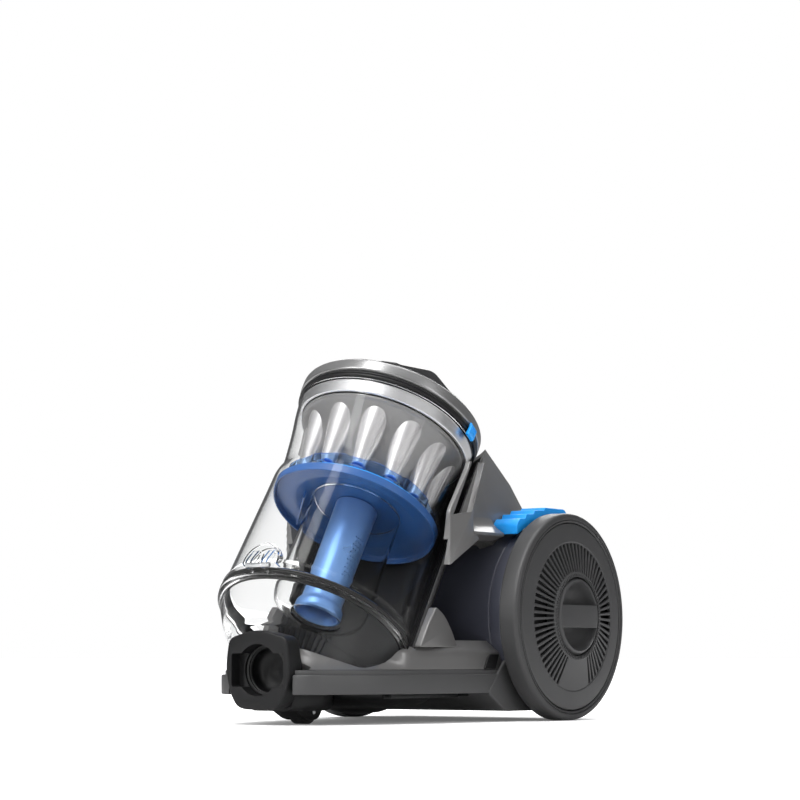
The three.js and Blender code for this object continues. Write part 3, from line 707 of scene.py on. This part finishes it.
def make_inside():
    """What shows through the bin: the blue disc, the feed tube and the fine dust jar."""
    disc = lathe([
        (17.6, 8.4), (46, 8.4, 2), (62, 3.2, 3), (80.4, 3.2, 0.8), (80.9, 2.2, 0.6), (80.9, -4.6, 0.6),
        (80.2, -5.2, 0.5), (78.8, -4.8, 0.5), (78.5, 0.2, 1.2), (61, 0.2, 3), (45, 6, 2), (17.6, 6),
    ], 0.5, 192, 5)
    can_piece("separator_disc", disc, "deep_blue", replaces=["shroud_disc"])
    step = prism([(-32.4, -40.6), (-31.4, -39.6), (-68.2, 3.4), (-70.2, 3.4)], -7.5, 0.4)
    can_piece("disc_step", step, "deep_blue")
    tube = solid("feed", lathe([
        (20.4, 5.2), (19.6, -100, 3), (23, -105.5, 3), (23.2, -111.6, 1), (22.2, -113.4, 1), (20, -113.4, 1),
        (18, -104, 3), (17.6, 5.2),
    ], 0.6, 128, 5), CANISTER)
    holes = [perforation(row, column) for row in range(HOLE_ROWS) for column in range(HOLE_COLUMNS)]
    carve(tube, together(*holes), CANISTER)
    dress(tube, "tube_blue", "canister", replaces=["feed_tube"])
    jar = lathe([
        (43.8, 4.6), (44.4, -50, 20), (46.5, -97, 8), (43.4, -110, 6), (36, -116, 5), (24.4, -117.6, 1),
        (24.4, -115.3), (35.2, -113.6, 5), (41.2, -108, 5), (44.2, -97, 8), (42.2, -50, 20), (41.4, 4.6),
    ], 0.4, 144, 5)
    can_piece("dust_jar", jar, "clear", replaces=["fine_dust_jar"], angle=40)


def perforation(row, column):
    """One of the small holes in the side of the feed tube."""
    turn = math.radians(-22 + column * 9 + (row % 2) * 4.5)
    hole = rod(0.75, 15, 23, 10, 0)
    return turned_to(hole, Matrix.Rotation(turn, 4, "Z") @ quarter_turn("Y", z=-32 - row * 4.2))


def make_cyclones():
    shape = [
        (0, 82.6), (12.6, 82.6, 1.5), (15.2, 79.4, 3.5), (15.0, 72, 5), (6.7, 17.2, 0.8), (5.2, 17.2, 0.5),
        (5.2, 19), (0, 19),
    ]
    cone = turned_to(lathe(shape, 0.4, 56, 5), Matrix.Translation((CONE_CIRCLE, 0, 0)))
    cones = copies(cone, CONES)
    can_piece("cyclone_cones", cones, "chrome", replaces=["cyclone_pack"], angle=50)
    core = lathe([
        (44, 22), (50, 22, 2), (58, 40, 20), (69, 66, 16), (78, 79, 4), (81.2, 81, 1), (81.2, 83.2, 0.6),
        (44, 83.2),
    ], 0.6, 144, 6)
    can_piece("cyclone_core", core, "gunmetal")
    band = lathe([
        (81.7, 83.9), (84.1, 83.9, 0.8), (84.5, 86, 1), (85.4, 95.4, 1), (85.2, 96.8, 0.7), (82.4, 96.8),
    ], 0.4, 192, 4)
    can_piece("bright_band", band, "silver", replaces=["silver_band"])


def make_tip_ring():
    """The blue collar round the cone tips: a wavy wall with a short sleeve for each cone."""
    mesh = bmesh.new()
    steps = CONES * 24
    flat = 0.55  # where the wave is cut off at its tops and bottoms
    wave = [max(-flat, min(flat, math.cos(TAU * i * CONES / steps))) / flat for i in range(steps)]
    columns = []
    for i in range(steps):
        angle = TAU * i / steps
        outer, top = 73.0 + 2.6 * wave[i], 19.0 - 2.2 * wave[i]
        corners = ((outer, 9.0), (outer, top), (outer - 1.4, top), (outer - 1.4, 9.0))
        columns.append([mesh.verts.new((r * math.cos(angle), r * math.sin(angle), z)) for r, z in corners])
    for i in range(steps):
        here, there = columns[i], columns[(i + 1) % steps]
        for k in range(4):
            mesh.faces.new((here[k], here[(k + 1) % 4], there[(k + 1) % 4], there[k]))
    can_piece("tip_ring", mesh, "smoke_blue", replaces=["cone_tip_ring"], angle=45, edge=0.3)
    sleeve = lathe([(7.4, 9.2), (9.4, 9.2, 0.8), (9.4, 14.6), (8.6, 15.4), (7.4, 15.4)], 0.3, 40)
    sleeves = copies(turned_to(sleeve, Matrix.Translation((CONE_CIRCLE, 0, 0))), CONES)
    can_piece("tip_sleeves", sleeves, "smoke_blue")
    plate = lathe([(50, 9.6), (77.0, 4.0, 1), (77.0, 5.6, 0.6), (70, 9.4, 2), (50, 11.4)], 0.4, 144)
    can_piece("tip_plate", plate, "blue")


def lid_pin_hole():
    """Cuts a lug of the lid's hinge."""
    return turned_to(rod(2.4, -20, 20), quarter_turn("X", LID_PIN[0], 0, LID_PIN[1]))


def make_collar():
    ring = solid("collar", lathe([
        (82.8, 97.7), (88.8, 97.7, 0.6), (90.1, 98.6, 0.8), (90.1, 100.2, 0.6), (88.8, 101, 0.5),
        (89.9, 101.7, 0.6), (89.9, 102.8, 0.5), (88.8, 103.6, 0.5), (82.8, 103.6),
    ], 0.4, 192, 4), CANISTER)
    for low, high in ((7, 13), (-13, -7)):
        lug = [
            (-99.0, 106), (-97.5, 109.2), (-93.5, 109.2), (-92, 106), (-91.4, 103), (-86, 103), (-86, 98),
            (-97.6, 98),
        ]
        tab = solid("tab", along(curved(lug, 1.4, 3), low, high), CANISTER)
        carve_with(ring, tab, "UNION")
    carve(ring, lid_pin_hole(), CANISTER)
    dress(ring, "black", "canister", replaces=["bin_collar"])


# ---- lid ----------------------------------------------------------------------------------
def rounded_block(x, y0, y1, z0, z1, radius):
    """A block from -x to x with rounded upright corners."""
    return prism(curved([(-x, y0), (x, y0), (x, y1), (-x, y1)], radius, 4), z0, z1)


def make_lid_ring():
    ring = solid("lid_band", lathe([
        (78, 104.2), (87.4, 104.2, 0.5), (90.6, 105.4, 0.7), (91, 106.6, 0.8), (91, 115.4, 0.8),
        (90.2, 116.4, 0.7), (88.6, 117.2, 0.6), (78, 117.2),
    ], 0.4, 240, 4), CANISTER)
    lug = [(-99.0, 106), (-97.5, 109.2), (-93.5, 110.5), (-86, 110.5), (-86, 104.4), (-97.6, 103)]
    tab = solid("tab", along(curved(lug, 1.4, 3), -6.4, 6.4), CANISTER)
    carve_with(ring, tab, "UNION")
    carve(ring, lid_pin_hole(), CANISTER)
    # painted light: the band wears a lightened copy of the gunmetal
    dress(ring, "ring_gunmetal_painted_light", "lid", replaces=["lid_ring"])


def make_crown():
    """The lid's top with its ridge, and the tunnel under the ridge that makes a handle of it."""
    crown = solid("crown", lathe([
        (0, 117.6), (88.0, 117.6, 0.3), (88.2, 118.4, 0.5), (84, 119.8, 3), (76, 120.6, 3), (0, 121.4),
    ], 0.5, 240, 4), CANISTER)
    side = [
        (-83, 118), (-70, 121.6, 6), (-20, 151, 9), (60, 151, 8), (78, 143.5, 8), (85, 133, 5), (86.5, 118),
    ]
    ridge = solid("ridge", across(curved(side, 3, 6), -49, 49), CANISTER)
    ease(ridge, 5, 5, 40)
    carve(ridge, lathe([(0, 118.6), (88.8, 118.6), (88.8, 160), (0, 160)], 0, 192), CANISTER, "INTERSECT")
    carve_with(crown, ridge, "UNION")
    tunnel = [(-20, 123.9), (-7, 136.8), (44, 136.8), (51.5, 130), (51.5, 123.9)]
    carve(crown, across(curved(tunnel, 4, 5), -75, 75), CANISTER)
    carve(crown, rounded_block(14, 58, 76, 135, 160, 3), CANISTER)
    carve(crown, rounded_block(17, -16, 50, 145.4, 160, 5), CANISTER)
    ease(crown, 0.8, 3, 35)
    # painted shade: the crown wears a darkened copy of the gunmetal
    dress(crown, "crown_gunmetal_painted_shade", "lid", replaces=["lid_crown"])


def make_grip_and_button():
    pad = solid("grip", rounded_block(16.4, -15.4, 49.4, 145.8, 148.2, 4.6), CANISTER)
    grooves = [box(-12.5, 12.5, y, y + 1.6, 147.3, 150) for y in range(-10, 46, 5)]
    carve(pad, together(*grooves), CANISTER)
    ease(pad, 0.35, 2)
    dress(pad, "seal", "lid", replaces=["grip_pad"])
    button = solid("button", rounded_block(13, 59, 75, 139.2, 147.3, 2.6), CANISTER)
    carve(button, turned_to(rod(30, -30, 30, 96, 0), quarter_turn("X", 0, 67, 176.2)), CANISTER)
    ease(button, 0.6, 3)
    dress(button, "blue", "button", replaces=["release_button"])


def make_catch():
    sector = [(80, -5.3), (120, -8), (120, 8), (80, 5.3)]
    arm = solid("catch", lathe([
        (91.6, 97.4), (90.7, 96.6), (90.7, 93.2), (93.6, 93.2, 0.8), (94.4, 96, 1), (94.4, 104.4, 1.5),
        (93.0, 106.4, 1), (91.6, 106.4),
    ], 0.4, 192), CANISTER)
    place = CANISTER @ Matrix.Rotation(math.radians(8), 4, "Z")
    carve(arm, prism(sector, 90, 120), place, "INTERSECT")
    dent = curved([(93.7, -4), (99, -4), (99, 4), (93.7, 4)], 0.3, 1)
    carve(arm, prism(dent, 98, 102.5), place)
    ease(arm, 0.5, 3)
    dress(arm, "blue", "catch", replaces=["lid_catch"])


# ---- base ---------------------------------------------------------------------------------
FRONT_Y = -312  # front of the base, from the axle
PORT_Z = 49.3  # middle of the hose port
PORT_R = 23.3
PORT_HALF = 36.3  # half the width that the base leaves for the hose inlet
CASTER_Y = -262
BELLY_Y = -162
COVER_FOOT = 49.6  # height at which the base cover starts
COVER_RISE = 26.4
PLINTH = [(40, -312), (56, -300), (80, -247), (94, -205), (106, -150), (110, -95), (110, -82)]
COVER = [(33, -289), (44, -284), (61, -268), (77, -244), (91, -205), (102, -155), (106, -110), (106, -62)]


def both_sides(side, inset=0.0):
    """The outline of one side with its mirror image, moved in by inset."""
    moved = [(x - inset, y + (inset if i < 2 else 0)) for i, (x, y) in enumerate(side)]
    return moved + [(-x, y) for x, y in reversed(moved)]


def loft(rings):
    """A closed skin through rings of as many (x, y, z) points each."""
    mesh = bmesh.new()
    made = [[mesh.verts.new(point) for point in ring] for ring in rings]
    for low, high in zip(made, made[1:]):
        for i in range(len(low)):
            j = (i + 1) % len(low)
            mesh.faces.new((low[i], low[j], high[j], high[i]))
    mesh.faces.new(made[0][::-1])
    mesh.faces.new(made[-1])
    return mesh


def canister_room():
    """The room that the canister and its door need, in the canister's frame."""
    return lathe([
        (0, -167), (67.5, -167), (71.5, -164.5), (81.5, -149), (90.5, -129.5), (94.2, -128.4), (94.2, 260),
        (0, 260),
    ], 0, 144)


def liner_room():
    """The room behind the canister that its cradle liner needs, in the canister's frame."""
    return prism([(x, max(29.0, y)) for x, y in arc(98.8, 17, 163, 60)], -123, 260)


def clear_rooms(made):
    """Cuts the rooms of the canister, of its cradle liner and of the drum out of a part of the base."""
    carve(made, canister_room(), CANISTER)
    carve(made, liner_room(), CANISTER)
    carve(made, rod(DRUM_R + 0.4, -200, 200, 128, 0), DRUM)


def caster_bore(radius, low, high, turns=32, edge=0.4):
    """A rod on the caster's swivel axis, in the machine's frame."""
    return turned_to(rod(radius, low, high, turns, edge), Matrix.Translation((0, CASTER_Y, 0)))


def port_rod(radius, front, turns, edge=0.4):
    """A rod on the hose port's axis, from so far in front of the axle forwards."""
    return turned_to(rod(radius, front, 330, turns, edge), quarter_turn("X", z=PORT_Z))


def make_tray():
    tray = solid("tray", prism(curved(both_sides(PLINTH), 14, 6), 27.3, 45.1), MACHINE)
    ease(tray, 1.4, 3, 40)
    lip = solid("lip", prism(curved(both_sides(PLINTH, 2.6), 14, 6), 44.0, 49.2), MACHINE)
    ease(lip, 0.8, 2, 40)
    carve_with(tray, lip, "UNION")
    side = [
        (-106, 27.5), (-80, 11.5, 3), (-70, 9.8, 2), (40, 9.6), (84, 16), (92, 30), (92, 56), (80, 64),
        (-70, 64, 3), (-90, 45),
    ]
    rear = solid("rear", across(curved(side, 5, 4), -110.4, 110.4), MACHINE)
    ease(rear, 1.6, 3, 40)
    carve_with(tray, rear, "UNION")
    inside = prism(curved(both_sides(PLINTH, 6.5), 14, 6), 30, 80)
    carve(tray, inside, MACHINE)
    wall = 107.5  # inner face of the side walls
    carve(tray, across([(-84, 30), (-80, 13), (-40, 13), (-40, 70), (-84, 70)], -wall, wall), MACHINE)
    carve(tray, across([(30, 13), (78, 20), (88.5, 32), (88.5, 70), (30, 70)], -wall, wall), MACHINE)
    carve(tray, box(-wall, wall, -100, 88.5, 49.2, 80), MACHINE)
    clear_rooms(tray)
    carve(tray, box(-PORT_HALF, PORT_HALF, FRONT_Y - 6, FRONT_Y + 15, 10, 60), MACHINE)
    carve(tray, port_rod(29, 268, 96), MACHINE)
    carve(tray, caster_bore(9.4, 20, 60), MACHINE)
    dress(tray, "graphite", "chassis", replaces=["base_tray"])


def make_underside():
    """The round belly, the ribs, and the skirt round the caster."""
    pan = lathe([
        (0, 8.0), (20, 9, 6), (31, 13.4, 5), (58, 16.2, 6), (68, 22, 6), (69, 27.2), (66, 27.2), (57, 18.4),
        (0, 11),
    ], 1, 128, 5)
    turned_to(pan, Matrix.Translation((0, BELLY_Y, 0)))
    dress(solid("belly", pan, MACHINE), "black", "chassis")
    ribs = [box(x - 1.2, x + 1.2, -228, -120, 23.4, 27.2) for x in (-84, -76, 76, 84)]
    ribs += [box(-92, 92, y - 1.2, y + 1.2, 24.4, 27.2) for y in (-100, -112)]
    under = solid("under_ribs", together(*ribs), MACHINE)
    ease(under, 0.5, 2)
    dress(under, "black", "chassis")
    rings = []
    levels = (
        (27.2, 35, -311.5, -222), (18, 34.5, -311, -223), (14.4, 33, -309, -225), (12.6, 31, -303, -230),
    )
    for z, wide, front, back in levels:
        middle, long = (front + back) / 2, (back - front) / 2
        angles = [TAU * i / 72 for i in range(72)]
        rings.append([(wide * math.cos(a), middle + long * math.sin(a), z) for a in angles])
    skirt = solid("caster_skirt", loft(rings), MACHINE)
    carve(skirt, caster_bore(29.2, 5, 26.4, 96, 0), MACHINE)
    carve(skirt, caster_bore(9.4, 20, 60), MACHINE)
    carve(skirt, box(-PORT_HALF, PORT_HALF, FRONT_Y - 6, FRONT_Y + 15, 5, 60), MACHINE)
    ease(skirt, 0.6, 3, 35)
    dress(skirt, "black", "chassis")


def cover_ring(height):
    """The cover's outline at a height: flared at the foot in front, and with a ledge along the sides."""
    t = (height - COVER_FOOT) / COVER_RISE
    side_inset = 1.6 * t if t < 0.6 else 1.0 + 11.0 * (t - 0.6) / 0.4
    front_inset = 15 * (1 - (1 - t) ** 3)
    ring = []
    for x, y in curved(both_sides(COVER), 9, 6):
        blend = max(0.0, min(1.0, (-y - 205) / 45))
        blend = blend * blend * (3 - 2 * blend)
        inset = side_inset * (1 - blend) + front_inset * blend
        scale = (abs(x) - inset) / abs(x) if abs(x) > 1 else 1
        ring.append((x * scale, y + (0.5 * inset * blend), height))
    return ring


def make_cover():
    """The base cover with its two fins, and the black clips at its rear."""
    heights = (COVER_FOOT, 51, 53, 56, 60, 64.5, 66, 68, 70.5, 73, 75.2, 76.4)
    cover = solid("cover", loft([cover_ring(height) for height in heights]), MACHINE)
    inner = both_sides([(x - 16, y + 10) for x, y in COVER])
    carve(cover, prism(curved(inner, 9, 6), 40, 73.6), MACHINE)
    fin = [(-199, 70), (-185, 92, 8), (-172.5, 107, 2.2), (-158, 99, 14), (-146, 84, 6), (-138, 70)]
    for low, high in ((84, 97), (-97, -84)):
        blade = solid("fin", across(curved(fin, 3, 6), low, high), MACHINE)
        ease(blade, 1.6, 3, 40)
        carve_with(cover, blade, "UNION")
    clear_rooms(cover)
    carve(cover, box(-36.6, 36.6, -330, -284, 40, 90), MACHINE)
    ease(cover, 0.7, 3, 42)
    # painted shade: the cover wears a darkened copy of the gunmetal
    dress(cover, "cover_gunmetal_painted_shade", "chassis", replaces=["base_cover"], angle=38)
    clip = [(-108, 49.9), (-101, 61, 2), (-97, 63.4, 2), (-83, 63.4), (-89, 49.9)]
    for hand, way in HANDS:
        mesh = across(curved(clip, 1, 4), *on_side(way, 103.5, 107.3))
        piece = solid(hand + "_clip", mesh, MACHINE)
        ease(piece, 0.6, 3)
        dress(piece, "black", "chassis")


def make_liner():
    outline = arc(98.2, 30, 150, 90) + arc(94.6, 150, 30, 90)
    liner = solid("liner", prism(outline, -122.5, 90), CANISTER)
    for first in (33, 121.4):
        grooves = copies(box(93, 96.0, -0.9, 0.9, -118, 60), 9, math.radians(first), math.radians(3.2))
        carve(liner, grooves, CANISTER)
    ease(liner, 0.4, 2)
    dress(liner, "black", "chassis", replaces=["cradle_liner"])


def make_inlet():
    """The hose port: its bezel, the socket behind it and the rubber seal."""
    barrel = [
        (-33, 78, 7), (0, 87, 40), (33, 78, 7), (37.2, PORT_Z, 60), (31, 27, 9), (22, 14, 12),
        (-22, 14, 12), (-31, 27, 9), (-37.2, PORT_Z, 60),
    ]
    bezel = solid("bezel", along(curved(barrel, 5, 10), FRONT_Y - 4, FRONT_Y + 14.5), MACHINE)
    ease(bezel, 1.6, 4, 40)
    carve(bezel, port_rod(PORT_R, 290, 128, 0), MACHINE)
    slots = [(-29.5, PORT_Z - 15), (29.5, PORT_Z - 15), (29.5, PORT_Z + 15), (-29.5, PORT_Z + 15)]
    carve(bezel, along(curved(slots, 2.4, 4), FRONT_Y - 6, FRONT_Y + 8), MACHINE)
    carve(bezel, canister_room(), CANISTER)
    ease(bezel, 0.8, 3, 50)
    dress(bezel, "black", "chassis", replaces=["inlet_bezel"], angle=36)
    mouth = quarter_turn("X", 0, FRONT_Y * MM + AXLE.y, PORT_Z * MM, -1)
    socket = solid("socket", lathe([
        (20.8, 15), (27, 15), (27, 27.6), (26, 28.4), (0, 28.4), (0, 27), (12, 27, 3), (18.6, 24.4, 3),
        (20.8, 20, 3),
    ], 0.4, 128), mouth)
    carve(socket, canister_room(), CANISTER)
    dress(socket, "black", "chassis", replaces=["inlet_socket"])
    ring = lathe([
        (20.4, 9.4), (22.8, 9.4), (22.8, 14.2), (20.4, 14.2), (20.4, 12.6), (19.6, 12), (20.4, 11.4),
    ], 0.3, 128)
    dress(solid("port_seal", ring, mouth), "seal", "chassis", replaces=["inlet_seal"])


CASTER_AXLE = (0, 13, 11)  # in the caster's frame, behind the swivel axis


def make_caster():
    side = [(-27, 26), (-27, 19, 3), (0, 5.2, 6), (9, 3.6, 3), (19, 4.6, 4), (25, 12, 3), (25, 26)]
    fork = solid("fork", across(curved(side, 0.6, 5), -13.4, 13.4), CASTER)
    sweep = lathe([(0, 0), (28.1, 0), (28.1, 21.2), (18.8, 21.2), (18.8, 25.9), (0, 25.9)], 0.3, 128)
    carve(fork, sweep, CASTER, "INTERSECT")
    carve_with(fork, solid("stem", rod(4.8, 24.5, 43, 48), CASTER), "UNION")
    carve(fork, box(-10.7, 10.7, 0.4, 40, -2, 23.4), CASTER)
    carve(fork, turned_to(rod(2.4, -30, 30), quarter_turn("Y", *CASTER_AXLE)), CASTER)
    ease(fork, 0.5, 3)
    dress(fork, "black", "caster", replaces=["caster_fork"])
    wheel = lathe([
        (2.5, -9.8), (6, -9.8), (6.4, -8.8), (9.4, -8.8), (11, -7.4, 1), (11, 7.4, 1), (9.4, 8.8),
        (6.4, 8.8), (6, 9.8), (2.5, 9.8),
    ], 0.4, 96)
    turned_to(wheel, quarter_turn("Y", *CASTER_AXLE))
    dress(solid("roller", wheel, CASTER), "tread", "caster_roller", replaces=["caster_wheel"])


def make_cord_outlet():
    ring = lathe([(4, 103.8), (8, 103.8), (8, 106.6), (7, 107.9), (5, 107.9), (4, 106.8)], 0.5, 64)
    turned_to(ring, quarter_turn("X", -40, 0, 92, -1))
    dress(solid("cord_grommet", ring, MACHINE), "black", "chassis", replaces=["cord_outlet"])


# ---- spine and pedals ---------------------------------------------------------------------
# outlines in YZ, and SHELF in XZ
ROOF = [
    (-60, 174), (-60, 270), (-56, 281), (-46, 270.5), (8, 231), (31, 208), (62, 192), (88, 174), (101, 150),
    (101, 80), (60, 66),
]
SIDE = [
    (-92, 174), (-104, 232), (-98, 242), (-88, 240), (-64, 201.5), (-30, 192), (-16, 189), (-14, 186),
    (-14, 182), (-14, 178), (-57, 171),
]
STRAP = [
    (-150.3, 146.2, 1), (-150.3, 197, 3), (-119.5, 238, 3), (-116, 246, 2), (-91, 246, 2), (-111, 197, 6),
    (-111, 181, 4), (-100, 172.4, 3),
]
CHANNEL = [(-146.4, 193.2), (-118.2, 236.4), (-114, 254), (-88, 254), (-113, 197.6)]
SHELF = [
    (70, 230), (78.5, 206, 14), (84.5, 188, 12), (97.6, 179.2), (97.6, 176.4), (84, 172.4), (70, 172.4),
]
PEDAL = [
    (-57, 178, 1.5), (-57, 188, 3), (-52, 193.4, 2), (-42, 194), (-40, 198.4), (-27, 199), (-25, 202.8),
    (-8, 203.3), (-6, 206.2), (30, 206, 3), (36, 200, 3), (36, 189.4), (20, 191.6, 6), (0, 193.6, 10),
    (-20, 192.2, 10), (-40, 185.8, 8),
]


def make_spine():
    """The motor hood, with the strap on each side that holds the canister and the shelf beside it."""
    rings = []
    for x, outline in ((-82.5, SIDE), (-62, ROOF), (62, ROOF), (82.5, SIDE)):
        rings.append([(x, y, z) for y, z in outline])
    shell = solid("spine", loft(rings), MACHINE)
    hollow = [
        (-60, 150), (-60, 262), (-44, 262), (6, 227), (29, 204), (60, 188), (85, 171), (97.5, 149),
        (97.5, 82), (60, 69), (0, 100),
    ]
    carve(shell, across(hollow, -58, 58), MACHINE)
    for way in (1, -1):
        strap = solid("strap", across(curved(STRAP, 2, 5), *on_side(way, 74, 97)), MACHINE)
        ease(strap, 0.6, 3, 40)
        carve(strap, across(CHANNEL, *on_side(way, 91, 100)), MACHINE)
        ease(strap, 0.3, 2, 50)
        carve_with(shell, strap, "UNION")
        outline = [(way * x, z, *radius) for x, z, *radius in SHELF]
        shelf = solid("shelf", along(curved(outline, 0.5, 6), -110, -58.6), MACHINE)
        carve_with(shell, shelf, "UNION")
    carve(shell, box(-130, 130, -200, 0, 0, 146), MACHINE)
    clear_rooms(shell)
    slots = [box(-40, 40, 90, 110, z, z + 2.4) for z in range(112, 150, 6)]
    carve(shell, together(*slots), MACHINE)
    dress(shell, "gunmetal", "chassis", replaces=["spine_shell"], angle=30)


def make_pedal(hand, side):
    outline = curved(PEDAL, 0.8, 4)
    pedal = solid(hand + "_pedal_pad", across(outline, *on_side(side, 84.2, 111.8)), MACHINE)
    ease(pedal, 1.2, 3, 35)
    hole = turned_to(rod(2.5, -130, 130), quarter_turn("Y", 0, 27, 197))
    carve(pedal, hole, MACHINE)
    dress(pedal, "blue", hand + "_pedal", replaces=["pedal_" + hand])


# ---- the whole machine --------------------------------------------------------------------
for hand, side in HANDS:
    make_wheel(hand, side)
make_drum()
make_bin()
make_door()
make_inside()
make_cyclones()
make_tip_ring()
make_collar()
make_lid_ring()
make_crown()
make_grip_and_button()
make_catch()
make_tray()
make_underside()
make_cover()
make_liner()
make_inlet()
make_caster()
make_cord_outlet()
make_spine()
for hand, side in HANDS:
    make_pedal(hand, side)


# ---- what stays as the CAD made it --------------------------------------------------------
for row in frame["record"]["subparts"]:
    node = frame["nodes"][row["node"]]
    for place in node.material_slots:
        place.link = "OBJECT"
        place.material = FINISHES[row["material_slot"]]
